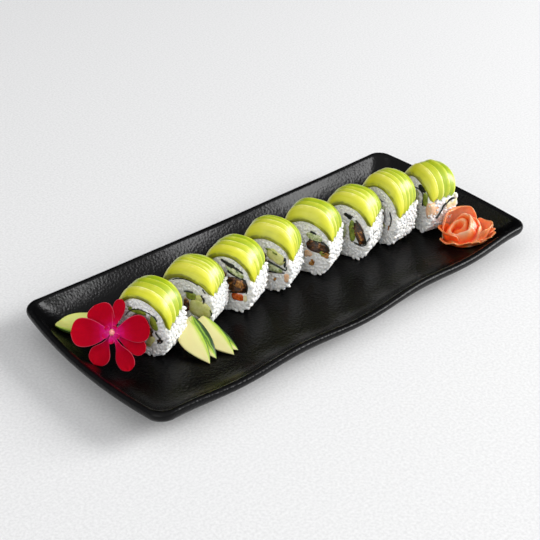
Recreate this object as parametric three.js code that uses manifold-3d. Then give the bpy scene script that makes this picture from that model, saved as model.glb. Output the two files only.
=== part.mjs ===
// Uramaki rolls on their serving plate, in millimetres, +Z up.
// The origin is under the middle of the plate, on the table. +X runs along the plate.
// Eight slices of an inside-out roll stand in a row. Each slice is five solids:
// rice, nori, cucumber, eel and the avocado that is laid over the top. An orchid and
// an avocado slice lie at one end, a fan of avocado slices between the first two rolls,
// and a rosette of pickled ginger at the other end.

import * as THREE from 'three';
import { mergeVertices } from 'three/addons/utils/BufferGeometryUtils.js';
import Module from 'manifold-3d';

const wasm = await Module();
wasm.setup();

// ---- Driving dimensions ---------------------------------------------------------------

const GAP = 0.3;                 // between pieces that touch

// Plate: half sizes of the rim, and how the rim bows, sags and waves between its corners.
const PLATE = {
  halfLength: 150, halfWidth: 69, endBow: 5.9, sideBow: 1.9, cornerRadius: 8,
  cornerHeight: 22, sideSag: 3.1, endSag: 2.2,
  waveLength: 97, waveOut: 0.9, waveDrop: 0.8,
  floorTop: 6, floorUnder: 1.8, wallInset: 25,
};
const SIDE_STEPS = 15;           // facets along a long side
const END_STEPS = 5;             // facets along an end
const CORNER_STEPS = 3;          // facets round a corner

// Rolls: where each stands, its turn about Z, its width, height and slice length, where
// the nori tube runs (to the side and up from the middle) and how the filling is split.
const ROLLS = [
  { x: -103, y: 3, yaw: 22, width: 37.5, height: 42, slice: 21, side: 1.0, up: -1.5, split: 20 },
  { x: -66.7, y: 8.6, yaw: 24, width: 38, height: 40, slice: 21, side: 2.0, up: -1.0, split: -35 },
  { x: -38, y: 6, yaw: 25, width: 37, height: 42, slice: 22, side: 2.2, up: -1.5, split: 35 },
  { x: -7, y: 7, yaw: 26, width: 37, height: 45, slice: 20, side: 2.2, up: -0.5, split: -30 },
  { x: 25, y: 5, yaw: 24, width: 37, height: 46, slice: 21, side: 2.2, up: -1.5, split: 15 },
  { x: 58, y: 2, yaw: 20, width: 37, height: 44, slice: 22, side: 2.0, up: -1.5, split: 65 },
  { x: 86.7, y: -0.8, yaw: 6, width: 37, height: 47, slice: 21.5, side: 2.0, up: -1.0, split: 40 },
  { x: 119.5, y: -7.5, yaw: -10, width: 37, height: 44, slice: 23, side: 1.0, up: -1.0, split: 10 },
];
const SQUARENESS = 3;            // exponent of the rolls' rounded square outline
const RICE_POINTS = 26;          // points round the rice
const RICE_EDGE = 1.1;           // rounding of the rice at its two cut faces
const RICE_LUMP = 0.45;          // how far the packed grains make the surface uneven
const FOOT_FLAT = 0.8;           // how much of the roll's underside is pressed flat

const AVOCADO_THICK = 3.3;       // avocado layer with its gap to the rice
const AVOCADO_GAP = 0.9;         // wider than GAP, as both faces are faceted curves
const AVOCADO_SLICES = 4;        // overlapping slices across one roll
const AVOCADO_STEP = 0.9;        // height of the step where one slice overlaps the next
const AVOCADO_STEPS = 12;        // facets over the top
const AVOCADO_LOW = 0;           // degrees from level where the first slice ends
const AVOCADO_HIGH = 20;         // and where the last one ends
const COVER_END = -8;            // the rice is inset for the avocado above this angle
const COVER_FADE = 12;           // degrees in which it comes out again
const CORNER_EASE = 1.6;         // more room at the corners, which the facets cut short

const NORI_HALF = 9.2;           // half the width of the nori tube
const NORI_WALL = 0.9;           // two turns of pressed seaweed
const NORI_POINTS = 16;

// Avocado garnish: one slice is a wedge with a round skin side and a straight stone side.
const SLICE = { length: 31, width: 14, thick: 2, bulge: 7 };
const FAN_AZIMUTH = 225;         // way the cut faces look, in degrees
const FAN_ELEVATION = 60;
const FAN_TIP = [-86.6, -36.5, 6.9];
const FAN = [                    // shift to the right and up in the fan's plane, and turn
  { right: 0, up: 0, turn: 23 },
  { right: 3.2, up: 4.3, turn: 26 },
  { right: 13.0, up: 8.1, turn: 34 },
  { right: 15.0, up: 12.1, turn: 46 },
];
const LEFT_SLICE = { x: -142, y: 46, heading: -20, length: 33, width: 13, thick: 2.6, bulge: 12 };

// Orchid: the middle of the flower, the way it faces, and its lobes.
const ORCHID = { x: -128.5, y: 5.6, z: 25.6, azimuth: -139, elevation: 29 };
const LOBES = [                  // from the top one round to the left: direction in degrees,
                                 // length, width and waist (1 is none)
  { at: 77, length: 21.5, width: 8, waist: 0.6 },
  { at: 132, length: 19, width: 15, waist: 0.8 },
  { at: 182, length: 23, width: 16, waist: 0.8 },
  { at: 252, length: 20.5, width: 12, waist: 0.35 },
  { at: 294, length: 22.5, width: 11, waist: 0.35 },
  { at: 341, length: 19.5, width: 9.5, waist: 0.6 },
  { at: 22, length: 20.5, width: 15, waist: 0.8 },
];
const PETAL_THICK = 1.1;
const PETAL_CUP = 1.5;           // how far a lobe's tip curls forward
const COLUMN_RADIUS = 2.4;

// Pickled ginger: the middle of the mound, its half sizes, height and turn, and its folds.
const GINGER = {
  x: 128, y: -39.5, halfLong: 20, halfWide: 13, height: 18.5, turn: -25, folds: 5,
};
const GINGER_RINGS = 7;
const GINGER_SIDES = 30;

// ---- Small helpers ----------------------------------------------------------------------

const rad = THREE.MathUtils.degToRad;
const smooth = THREE.MathUtils.smoothstep;
const lerp = THREE.MathUtils.lerp;

const group = new THREE.Group();

function material(color, roughness, metalness = 0) {
  return new THREE.MeshStandardMaterial({ color, roughness, metalness });
}

const FINISH = {
  plate: material(0x1c1d20, 0.35),
  rice: material(0xeeece6, 0.6),
  nori: material(0x1b2116, 0.55),
  cucumber: material(0xb9c97a, 0.4),
  eel: material(0x5a3018, 0.35),
  avocado: material(0xb7c543, 0.4),
  petal: material(0xb80f35, 0.5),
  ginger: material(0xf08562, 0.35),
};

function add(name, geometry, finish) {
  const mesh = new THREE.Mesh(geometry, finish);
  mesh.name = name;
  group.add(mesh);
  return mesh;
}

// Every vertex of a geometry is moved by a function.
function warp(geometry, move) {
  const position = geometry.attributes.position;
  const point = new THREE.Vector3();
  for (let i = 0; i < position.count; i += 1) {
    point.fromBufferAttribute(position, i);
    move(point);
    position.setXYZ(i, point.x, point.y, point.z);
  }
  return geometry;
}

function merged(geometry) {
  geometry.deleteAttribute('normal');
  geometry.deleteAttribute('uv');
  return mergeVertices(geometry, 1e-4);
}

function toSolid(geometry) {
  const clean = merged(geometry);
  return new wasm.Manifold(new wasm.Mesh({
    numProp: 3,
    vertProperties: new Float32Array(clean.attributes.position.array),
    triVerts: new Uint32Array(clean.index.array),
  }));
}

function toGeometry(solid) {
  const mesh = solid.getMesh();
  const geometry = new THREE.BufferGeometry();
  geometry.setAttribute('position', new THREE.BufferAttribute(mesh.vertProperties, 3));
  geometry.setIndex(new THREE.BufferAttribute(mesh.triVerts, 1));
  return geometry;
}

// Turns a shape that faces +Z, with +Y up, to face an azimuth and an elevation.
function facing(azimuth, elevation) {
  const normal = new THREE.Vector3(
    Math.cos(rad(azimuth)) * Math.cos(rad(elevation)),
    Math.sin(rad(azimuth)) * Math.cos(rad(elevation)),
    Math.sin(rad(elevation)));
  const right = new THREE.Vector3(-Math.sin(rad(azimuth)), Math.cos(rad(azimuth)), 0);
  const up = new THREE.Vector3().crossVectors(normal, right);
  return new THREE.Matrix4().makeBasis(right, up, normal);
}

// A smooth, repeatable unevenness between -1 and 1.
function lumps(angle, along, seed) {
  const slow = Math.sin(3 * angle + seed * 1.7) * Math.cos(0.21 * along + seed);
  const quick = Math.sin(7 * angle + seed * 2.9 + 0.35 * along);
  return 0.55 * slow + 0.45 * quick;
}

// ---- Plate --------------------------------------------------------------------------------

// Height of the rim above a place on the plan: highest at the corners.
function rimHeight(x, y) {
  const ex = Math.min(Math.abs(x) / PLATE.halfLength, 1);
  const ey = Math.min(Math.abs(y) / PLATE.halfWidth, 1);
  const side = PLATE.sideSag * (1 - ex * ex) * ey ** 4;
  const end = PLATE.endSag * (1 - ey * ey) * ex ** 4;
  const ripple = Math.cos((2 * Math.PI * x) / PLATE.waveLength) * (1 - ex ** 6);
  const wave = PLATE.waveDrop * ripple * ey ** 4;
  return PLATE.cornerHeight - side - end - wave;
}

// The plate's section: how far in from the rim, and how high at a corner.
const TOP_SECTION = [
  [0, 19.6], [0.7, 21.3], [2.2, 22], [3.8, 21.4], [5, 19.8],
  [9, 14.8], [13.5, 10.5], [19, 7.3], [PLATE.wallInset, PLATE.floorTop],
];
const UNDER_SECTION = [
  [0.4, 17], [2.5, 14.6], [9, 8.2], [16, 3.2], [19, 0], [24, 0], [26, PLATE.floorUnder],
];

function wellTop(inset) {
  const section = TOP_SECTION;
  if (inset >= PLATE.wallInset) return PLATE.floorTop;
  let i = 1;
  while (section[i][0] < inset) i += 1;
  const share = (inset - section[i - 1][0]) / (section[i][0] - section[i - 1][0]);
  return lerp(section[i - 1][1], section[i][1], share);
}

// What lies above the well's floor follows the sagging rim.
function sagged(z, x, y) {
  const rise = (z - PLATE.floorTop) / (PLATE.cornerHeight - PLATE.floorTop);
  return z + (rimHeight(x, y) - PLATE.cornerHeight) * Math.max(rise, 0);
}

// The plate's upper surface at a place in the well, for what lies on it.
function plateTop(x, y) {
  const [outX, outY] = bow(x, y);
  const fromEnd = PLATE.halfLength + outX - Math.abs(x);
  const fromSide = PLATE.halfWidth + outY - Math.abs(y);
  return Math.max(wellTop(fromEnd), wellTop(fromSide));
}

// Points of a rounded rectangle, the same number whatever its size.
function plateRing(inset) {
  const halfX = PLATE.halfLength - inset;
  const halfY = PLATE.halfWidth - inset;
  const radius = PLATE.cornerRadius + 0.2 * inset;
  const points = [];
  for (let quarter = 0; quarter < 4; quarter += 1) {
    const signX = quarter === 0 || quarter === 3 ? 1 : -1;
    const signY = quarter < 2 ? 1 : -1;
    for (let i = 0; i <= CORNER_STEPS; i += 1) {
      const turn = (quarter + i / CORNER_STEPS) * (Math.PI / 2);
      const x = signX * (halfX - radius) + radius * Math.cos(turn);
      const y = signY * (halfY - radius) + radius * Math.sin(turn);
      points.push([x, y]);
    }
    const steps = quarter % 2 === 0 ? SIDE_STEPS : END_STEPS;
    const [fromX, fromY] = points[points.length - 1];
    const toX = quarter % 2 === 0 ? -fromX : fromX;
    const toY = quarter % 2 === 0 ? fromY : -fromY;
    for (let i = 1; i < steps; i += 1) {
      points.push([lerp(fromX, toX, i / steps), lerp(fromY, toY, i / steps)]);
    }
  }
  return points.map(([x, y]) => bowed(x, y));
}

// The rim bows out between its corners and waves along its long sides. The wall keeps its
// width all round, so the bow is full from the foot of the wall outwards.
function bow(x, y) {
  const ex = Math.min(Math.abs(x) / PLATE.halfLength, 1);
  const ey = Math.min(Math.abs(y) / PLATE.halfWidth, 1);
  const endShare = Math.min(Math.abs(x) / (PLATE.halfLength - PLATE.wallInset), 1);
  const sideShare = Math.min(Math.abs(y) / (PLATE.halfWidth - PLATE.wallInset), 1);
  const wave = PLATE.waveOut * Math.cos((2 * Math.PI * x) / PLATE.waveLength) * (1 - ex ** 6);
  const outX = PLATE.endBow * (1 - ey * ey) * endShare ** 4;
  const outY = (PLATE.sideBow * (1 - ex * ex) + wave) * sideShare ** 4;
  return [outX, outY];
}

function bowed(x, y) {
  const [outX, outY] = bow(x, y);
  return [x + Math.sign(x) * outX, y + Math.sign(y) * outY];
}

// The section is turned round as a lathe would, then each ring takes the plate's outline.
function plateGeometry() {
  const rise = UNDER_SECTION.toReversed();
  const section = [[null, PLATE.floorUnder], ...rise, ...TOP_SECTION, [null, PLATE.floorTop]];
  const profile = section.map(([inset], row) => new THREE.Vector2(inset === null ? 0 : 1, row));
  const around = plateRing(0).length;
  const lathe = new THREE.LatheGeometry(profile, around);
  const rings = section.map(([inset]) => (inset === null ? null : plateRing(inset)));
  const turned = warp(lathe, (point) => {
    const row = Math.round(point.y);
    const [inset, z] = section[row];
    if (inset === null) {
      point.set(0, 0, z);
      return;
    }
    const share = Math.atan2(point.x, point.z) / (2 * Math.PI);
    const [x, y] = rings[row][(Math.round(share * around) + around) % around];
    point.set(x, y, sagged(z, x, y));
  });
  return merged(turned);
}

add('plate', plateGeometry(), FINISH.plate);

// ---- Rolls -----------------------------------------------------------------------------------

function rollMiddle(roll) {
  return (roll.height - FOOT_FLAT) / 2;
}

// A point on a roll's outline: a rounded square, flat underneath, with its foot at zero.
function outline(roll, angle, inset) {
  const power = 2 / SQUARENESS;
  const halfHeight = (roll.height + FOOT_FLAT) / 2;
  const across = (roll.width / 2) * Math.sign(Math.cos(angle)) * Math.abs(Math.cos(angle)) ** power;
  const up = halfHeight * Math.sign(Math.sin(angle)) * Math.abs(Math.sin(angle)) ** power;
  const shrink = 1 - inset / Math.hypot(across, up);
  return [across * shrink, Math.max(up * shrink + rollMiddle(roll), 0)];
}

// How much of the avocado's thickness the rice gives up at an angle.
function covered(angle) {
  const level = Math.asin(Math.sin(angle));
  return smooth(level, rad(COVER_END - COVER_FADE), rad(COVER_END));
}

// Shapes are drawn with x to the roll's far side and y up, and extruded along its axis.
function alongAxis(geometry) {
  const basis = new THREE.Matrix4().makeBasis(
    new THREE.Vector3(0, 1, 0), new THREE.Vector3(0, 0, 1), new THREE.Vector3(1, 0, 0));
  return geometry.applyMatrix4(basis);
}

function place(mesh, roll) {
  mesh.position.set(roll.x, roll.y, PLATE.floorTop + GAP);
  mesh.rotation.z = rad(roll.yaw);
}

// An even oval about the nori's middle.
function oval(roll, half, points) {
  const ring = [];
  for (let i = 0; i < points; i += 1) {
    const angle = (2 * Math.PI * i) / points;
    ring.push(new THREE.Vector2(
      -roll.side + half * 0.94 * Math.cos(angle),
      rollMiddle(roll) + roll.up + half * 1.06 * Math.sin(angle)));
  }
  return ring;
}

function riceGeometry(roll, seed) {
  const outer = [];
  for (let i = 0; i < RICE_POINTS; i += 1) {
    const angle = (2 * Math.PI * (i + 0.5)) / RICE_POINTS;
    const cover = covered(angle);
    const lump = RICE_LUMP * (lumps(angle, 0, seed) - cover);
    const ease = CORNER_EASE * Math.sin(2 * angle) ** 2;
    const inset = RICE_EDGE + cover * (AVOCADO_THICK + ease) - lump;
    const [across, up] = outline(roll, angle, inset);
    outer.push(new THREE.Vector2(across, Math.max(up, RICE_EDGE)));
  }
  const shape = new THREE.Shape(outer);
  shape.holes.push(new THREE.Path(oval(roll, NORI_HALF + GAP + RICE_EDGE, NORI_POINTS)));
  const depth = roll.slice - 2 * RICE_EDGE;
  const geometry = new THREE.ExtrudeGeometry(shape, {
    depth, bevelSize: RICE_EDGE, bevelThickness: RICE_EDGE, bevelSegments: 1,
  });
  return merged(alongAxis(geometry.translate(0, 0, -depth / 2)));
}

function noriGeometry(roll) {
  const shape = new THREE.Shape(oval(roll, NORI_HALF, NORI_POINTS));
  shape.holes.push(new THREE.Path(oval(roll, NORI_HALF - NORI_WALL, NORI_POINTS)));
  const depth = roll.slice - 0.8;
  const geometry = new THREE.ExtrudeGeometry(shape, { depth, bevelEnabled: false });
  return merged(alongAxis(geometry.translate(0, 0, -depth / 2)));
}

// The filling is the oval inside the nori, cut in two by a straight line.
function fillingGeometry(roll, part) {
  const half = NORI_HALF - NORI_WALL - GAP;
  const reach = 3 * half;
  const depth = roll.slice - (part > 0 ? 0.4 : 1.2);
  const tube = new THREE.ExtrudeGeometry(new THREE.Shape(oval(roll, half, NORI_POINTS)), {
    depth, bevelEnabled: false,
  });
  const cutter = new THREE.BoxGeometry(reach, reach, 2 * depth);
  cutter.translate(0, part * (reach + GAP) / 2, 0);
  cutter.rotateZ(rad(roll.split));
  cutter.translate(-roll.side, rollMiddle(roll) + roll.up, 0);
  const piece = toSolid(tube.translate(0, 0, -depth / 2)).intersect(toSolid(cutter));
  return alongAxis(toGeometry(piece));
}

// The avocado's cross-section is a row of shingles, the front one on top; it is carried over
// the roll's top from one side to the other and thins out to its ends.
function avocadoGeometry(roll) {
  const half = roll.slice / 2;
  const width = roll.slice / AVOCADO_SLICES;
  const thick = AVOCADO_THICK - AVOCADO_GAP;
  const points = [new THREE.Vector2(half, 0), new THREE.Vector2(-half, 0), new THREE.Vector2(-half, thick)];
  for (let i = 1; i < AVOCADO_SLICES; i += 1) {
    points.push(new THREE.Vector2(-half + i * width, thick));
    points.push(new THREE.Vector2(-half + i * width + 0.4, thick - AVOCADO_STEP));
  }
  points.push(new THREE.Vector2(half, thick));
  const shape = new THREE.Shape(points.reverse());
  const strip = new THREE.ExtrudeGeometry(shape, { depth: 1, steps: AVOCADO_STEPS, bevelEnabled: false });
  const draped = warp(strip, (point) => {
    const share = (point.x + half) / roll.slice;
    const ends = lerp(AVOCADO_LOW, AVOCADO_HIGH, share);
    const angle = rad(lerp(180 - ends, ends, point.z));
    const thin = lerp(0.45, 1, Math.min(1, 5 * Math.min(point.z, 1 - point.z)));
    const inset = AVOCADO_THICK - AVOCADO_GAP - point.y * thin;
    const [across, up] = outline(roll, Math.PI - angle, inset);
    point.set(point.x, across, up);
  });
  return merged(draped);
}

ROLLS.forEach((roll, index) => {
  const name = `roll_${index + 1}`;
  place(add(`${name}_rice`, riceGeometry(roll, index + 1), FINISH.rice), roll);
  place(add(`${name}_nori`, noriGeometry(roll), FINISH.nori), roll);
  place(add(`${name}_cucumber`, fillingGeometry(roll, 1), FINISH.cucumber), roll);
  place(add(`${name}_eel`, fillingGeometry(roll, -1), FINISH.eel), roll);
  place(add(`${name}_avocado`, avocadoGeometry(roll), FINISH.avocado), roll);
});

// ---- Avocado garnish -----------------------------------------------------------------------

// A slice lies with its tip at zero and runs along +Y; its round skin side looks to +X.
function sliceGeometry({ length, width, thick, bulge }) {
  const shape = new THREE.Shape();
  shape.moveTo(0, 0);
  shape.bezierCurveTo(bulge * 0.6, length * 0.3, bulge * 0.4, length * 0.8, -width * 0.25, length);
  shape.bezierCurveTo(-width * 0.6, length * 0.95, -width, length * 0.75, -width * 0.85, length * 0.55);
  shape.bezierCurveTo(-width * 0.72, length * 0.4, -width * 0.3, length * 0.15, 0, 0);
  return new THREE.ExtrudeGeometry(shape, {
    depth: thick - 0.8, curveSegments: 5,
    bevelSize: 0.4, bevelThickness: 0.4, bevelOffset: -0.4, bevelSegments: 1,
  });
}

FAN.forEach((slice, index) => {
  const geometry = sliceGeometry(SLICE);
  geometry.translate(0, 0, -index * (SLICE.thick + GAP));
  geometry.rotateZ(rad(slice.turn));
  geometry.translate(slice.right, slice.up, 0);
  geometry.applyMatrix4(facing(FAN_AZIMUTH, FAN_ELEVATION));
  geometry.translate(...FAN_TIP);
  add(`avocado_slice_${index + 1}`, merged(geometry), FINISH.avocado);
});

// The slice at the plate's end lies against the rising wall, so it follows the plate.
function leftSliceGeometry() {
  const geometry = sliceGeometry(LEFT_SLICE);
  geometry.rotateZ(rad(LEFT_SLICE.heading - 90));
  geometry.translate(LEFT_SLICE.x, LEFT_SLICE.y, 0);
  return merged(warp(geometry, (point) => {
    point.z += plateTop(point.x, point.y) + 2.0;
  }));
}

add('avocado_slice_end', leftSliceGeometry(), FINISH.avocado);

// ---- Orchid -----------------------------------------------------------------------------------

// One lobe runs along +X from the flower's middle and curls forward at its tip.
function lobeGeometry({ length, width, waist }) {
  const half = width / 2;
  const shape = new THREE.Shape();
  shape.moveTo(0, -1);
  shape.bezierCurveTo(length * 0.35, -half * waist, length * 0.45, -half, length * 0.72, -half);
  shape.bezierCurveTo(length * 0.93, -half, length, -half * 0.5, length, 0);
  shape.bezierCurveTo(length, half * 0.5, length * 0.93, half, length * 0.72, half);
  shape.bezierCurveTo(length * 0.45, half, length * 0.35, half * waist, 0, 1);
  const geometry = new THREE.ExtrudeGeometry(shape, {
    depth: PETAL_THICK, bevelEnabled: false, curveSegments: 4,
  });
  return warp(geometry, (point) => {
    point.z += PETAL_CUP * (point.x / length) ** 2;
  });
}

function orchidGeometry() {
  const column = new THREE.SphereGeometry(COLUMN_RADIUS, 10, 6);
  column.translate(0, 0, PETAL_THICK);
  let flower = toSolid(column);
  LOBES.forEach((lobe, index) => {
    const geometry = lobeGeometry(lobe);
    geometry.translate(0, 0, (index % 2) * 0.5);
    geometry.rotateZ(rad(lobe.at));
    flower = flower.add(toSolid(geometry));
  });
  const geometry = toGeometry(flower).applyMatrix4(facing(ORCHID.azimuth, ORCHID.elevation));
  return geometry.translate(ORCHID.x, ORCHID.y, ORCHID.z);
}

add('orchid', orchidGeometry(), FINISH.petal);

// ---- Pickled ginger ---------------------------------------------------------------------------

// A mound of thin slices wound into a rosette: folds run round it like petals.
function gingerGeometry() {
  const profile = [new THREE.Vector2(0, 0)];
  for (let i = 0; i <= GINGER_RINGS; i += 1) {
    const turn = (i / GINGER_RINGS) * (Math.PI / 2);
    profile.push(new THREE.Vector2(i === GINGER_RINGS ? 0 : Math.cos(turn), i === 0 ? 0.05 : Math.sin(turn)));
  }
  const mound = new THREE.LatheGeometry(profile, GINGER_SIDES);
  return merged(warp(mound, (point) => {
    const radius = Math.hypot(point.x, point.z);
    const angle = Math.atan2(point.x, point.z);
    const fold = Math.sin(GINGER.folds * angle + 5 * point.y);
    const petals = radius * (1 + 0.1 * fold);
    const hollow = 0.22 * (1 - smooth(radius, 0, 0.45)) * point.y;
    const height = GINGER.height * (point.y - hollow + 0.07 * fold * radius * point.y);
    const across = GINGER.halfLong * petals * Math.cos(angle);
    const deep = GINGER.halfWide * petals * Math.sin(angle);
    const turn = rad(GINGER.turn);
    const x = GINGER.x + across * Math.cos(turn) - deep * Math.sin(turn);
    const y = GINGER.y + across * Math.sin(turn) + deep * Math.cos(turn);
    const ground = lerp(plateTop(x, y), PLATE.floorTop, smooth(height, 2, 12));
    point.set(x, y, height + ground + 0.9);
  }));
}

add('ginger', gingerGeometry(), FINISH.ginger);

export default group;
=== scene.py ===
# %% [markdown]
# # Eight uramaki rolls on a black serving plate
#
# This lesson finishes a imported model: a long plate carries eight slices of an inside-out
# roll, each with rice outside, a tube of nori inside and avocado laid over its top. An
# orchid, a few avocado slices and a rosette of pickled ginger lie round the rolls. The
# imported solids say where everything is. Each cell models one real thing from bmesh
# operators and gives it the finish that its real surface has.

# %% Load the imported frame
import math

import bmesh
import bpy
import numpy as np
from mathutils import Matrix, Vector, noise


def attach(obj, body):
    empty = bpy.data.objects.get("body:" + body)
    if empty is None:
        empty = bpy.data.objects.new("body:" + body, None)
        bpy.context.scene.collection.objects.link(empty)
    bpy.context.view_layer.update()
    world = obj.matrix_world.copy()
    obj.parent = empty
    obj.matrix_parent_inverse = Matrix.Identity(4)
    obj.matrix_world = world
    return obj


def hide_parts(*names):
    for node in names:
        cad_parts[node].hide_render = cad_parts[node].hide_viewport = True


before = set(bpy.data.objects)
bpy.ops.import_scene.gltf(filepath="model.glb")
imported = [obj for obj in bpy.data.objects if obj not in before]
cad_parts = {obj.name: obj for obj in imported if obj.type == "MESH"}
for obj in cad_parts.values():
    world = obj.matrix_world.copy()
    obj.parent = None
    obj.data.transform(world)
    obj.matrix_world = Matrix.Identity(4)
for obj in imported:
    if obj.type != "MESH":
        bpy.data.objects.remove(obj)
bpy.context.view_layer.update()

# %% [markdown]
# Everything is drawn in millimetres, as a kitchen would measure it, and turned to metres
# when a piece is finished. Colours are written as the sRGB hex values a paint chart has.

# %% Units, colours and one function for nodes
MM = 0.001
TO_METRES = Matrix.Scale(MM, 4)
rng = np.random.default_rng(8)


def linear(hex_colour):
    """The linear RGBA of an sRGB hex colour."""
    channels = [int(hex_colour[i:i + 2], 16) / 255 for i in (1, 3, 5)]
    return (*[c / 12.92 if c <= 0.04045 else ((c + 0.055) / 1.055) ** 2.4 for c in channels], 1.0)


def add_node(material, kind, values=None, links=None, stops=None, **properties):
    """A shader node: values and links go to its sockets, stops to its colour ramp."""
    node = material.node_tree.nodes.new("ShaderNode" + kind)
    for key, value in properties.items():
        setattr(node, key, value)
    for key, value in (values or {}).items():
        node.inputs[key].default_value = value
    for key, (source, output) in (links or {}).items():
        material.node_tree.links.new(source.outputs[output], node.inputs[key])
    for number, (position, colour) in enumerate(stops or []):
        ramp = node.color_ramp.elements
        stop = ramp[number] if number < 2 else ramp.new(position)
        stop.position = position
        stop.color = linear(colour)
    return node


def surface(name, colour, **sockets):
    """A material with one Principled shader; its even values are set on the shader itself."""
    material = bpy.data.materials.new(name)
    material.use_nodes = True
    shader = material.node_tree.nodes["Principled BSDF"]
    shader.inputs["Base Color"].default_value = linear(colour)
    for key, value in sockets.items():
        shader.inputs[key.replace("_", " ")].default_value = value
    return material, shader


def bump(material, shader, source, output, strength, depth):
    """Lets a pattern raise the surface by up to a depth in millimetres."""
    relief = add_node(material, "Bump", {"Strength": strength, "Distance": depth * MM},
                      {"Height": (source, output)})
    material.node_tree.links.new(relief.outputs["Normal"], shader.inputs["Normal"])


def colour_from(material, shader, source, output="Color"):
    """Takes the shader's colour from a node."""
    material.node_tree.links.new(source.outputs[output], shader.inputs["Base Color"])


def tones(material, source, output, stops):
    """Colours laid along a value that runs from 0 to 1."""
    return add_node(material, "ValToRGB", None, {0: (source, output)}, stops=stops)


def grain(material, size, detail, **sockets):
    """Noise through the solid of a piece, whose grains are of a size in millimetres."""
    inside = add_node(material, "TexCoord")
    return add_node(material, "TexNoise", {"Scale": 1 / (size * MM), "Detail": detail, **sockets},
                    {"Vector": (inside, "Object")})


def carried(material, name):
    """A value that the corners of the mesh carry."""
    return add_node(material, "Attribute", attribute_name=name)


def swing(material, source, spread):
    """Noise brought down to an unevenness on both sides of 0."""
    return add_node(material, "Math", {1: spread, 2: -spread / 2}, {0: (source, "Fac")},
                    operation="MULTIPLY_ADD")


def total(material, first, second):
    """The sum of two values, each given as its node and output."""
    return add_node(material, "Math", None, {0: first, 1: second}, operation="ADD")


# %% [markdown]
# Most pieces here are soft, closed shapes that run along something: a petal, a slice, a
# strip of filling. They could be pushed out of cubes, but a grid of quads whose corners
# are carried to their places keeps even faces along the piece. Where the two long edges
# of the grid meet, merging the doubles closes it to a tube. Finishing a piece turns its
# faces outwards, brings it to metres and lets it ride with the plate.

# %% Grids, and finishing a piece
def warped_grid(long_steps, cross_steps, place, values=None):
    """A grid whose corners go where place(u, v) says; values(u, v) are kept on its corners."""
    bm = bmesh.new()
    layers = {key: bm.verts.layers.float.new(key) for key in (values(0, 0) if values else {})}
    bmesh.ops.create_grid(bm, x_segments=long_steps, y_segments=cross_steps, size=0.5)
    for vert in bm.verts:
        u, v = vert.co.x + 0.5, vert.co.y + 0.5
        for key, layer in layers.items():
            vert[layer] = values(u, v)[key]
        vert.co = place(u, v)
    bmesh.ops.remove_doubles(bm, verts=bm.verts, dist=0.002)
    return bm


def joined(parts):
    """One bmesh out of several."""
    whole = bmesh.new()
    for part in parts:
        mesh = bpy.data.meshes.new("part")
        part.to_mesh(mesh)
        part.free()
        whole.from_mesh(mesh)
        bpy.data.meshes.remove(mesh)
    return whole


def finish_piece(bm, name, material, place=Matrix(), replaces=(), thick=0, subdivide=0):
    """Makes the object of a piece that was drawn in millimetres, at its place on the plate."""
    bmesh.ops.recalc_face_normals(bm, faces=bm.faces)
    bm.transform(TO_METRES @ place)
    mesh = bpy.data.meshes.new(name)
    bm.to_mesh(mesh)
    bm.free()
    mesh.materials.append(material)
    mesh.shade_smooth()
    piece = bpy.data.objects.new(name, mesh)
    bpy.context.scene.collection.objects.link(piece)
    if thick:
        wall = piece.modifiers.new("thickness", "SOLIDIFY")
        wall.thickness = thick * MM
        wall.offset = 0
    if subdivide:
        soft = piece.modifiers.new("softness", "SUBSURF")
        soft.levels = subdivide
        soft.render_levels = subdivide
    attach(piece, "root")
    if replaces:
        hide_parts(*replaces)


def lumpy(point, size, seed):
    """A smooth unevenness between about -1 and 1 whose lumps are of a size in millimetres."""
    return noise.noise(Vector(point) / size + Vector((7.3 * seed, 1.7 * seed, 3.1 * seed)))


def blend(low, high, share):
    """The value a share of the way from low to high."""
    return low + (high - low) * share


def step_smooth(low, high, value):
    """0 up to low, 1 from high on, and a soft slope between them."""
    share = min(max((value - low) / (high - low), 0.0), 1.0)
    return share * share * (3 - 2 * share)


# %% [markdown]
# ## The camera and the studio
# The camera stands over the front left corner of the plate and looks down along it. A wide
# soft box hangs to its right, a weaker one fills from the left, and a white room gives
# the rest, so that the floor stays nearly white and the shadows stay soft.

# %% Camera
CAMERA_TARGET = (-12.8, 2.3, 20.0)
CAMERA_DISTANCE = 747.7
CAMERA_TURN = math.radians(-40.81)
CAMERA_RISE = math.radians(33.54)
CAMERA_LENS = 80.17

away = Vector((math.sin(CAMERA_TURN) * math.cos(CAMERA_RISE),
               -math.cos(CAMERA_TURN) * math.cos(CAMERA_RISE),
               math.sin(CAMERA_RISE)))
camera = bpy.data.objects.new("camera", bpy.data.cameras.new("camera"))
camera.data.lens = CAMERA_LENS
camera.data.clip_start = 0.05
camera.data.clip_end = 20
camera.location = (Vector(CAMERA_TARGET) + CAMERA_DISTANCE * away) * MM
camera.rotation_euler = away.to_track_quat("Z", "Y").to_euler()
bpy.context.scene.collection.objects.link(camera)
bpy.context.scene.camera = camera
print("camera at", camera.location[:])


# %% Lights and room
def soft_box(name, direction, distance, size, power):
    """A square area light that shines at the middle of the plate."""
    light = bpy.data.lights.new(name, "AREA")
    light.size = size
    light.energy = power
    lamp = bpy.data.objects.new(name, light)
    towards = Vector(direction).normalized()
    lamp.location = towards * distance
    lamp.rotation_euler = towards.to_track_quat("Z", "Y").to_euler()
    bpy.context.scene.collection.objects.link(lamp)


soft_box("key_box", (0.82, -0.6, 0.52), distance=2.4, size=1.2, power=68)
soft_box("fill_box", (-0.85, -0.25, 0.6), distance=1.6, size=1.2, power=5)

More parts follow.
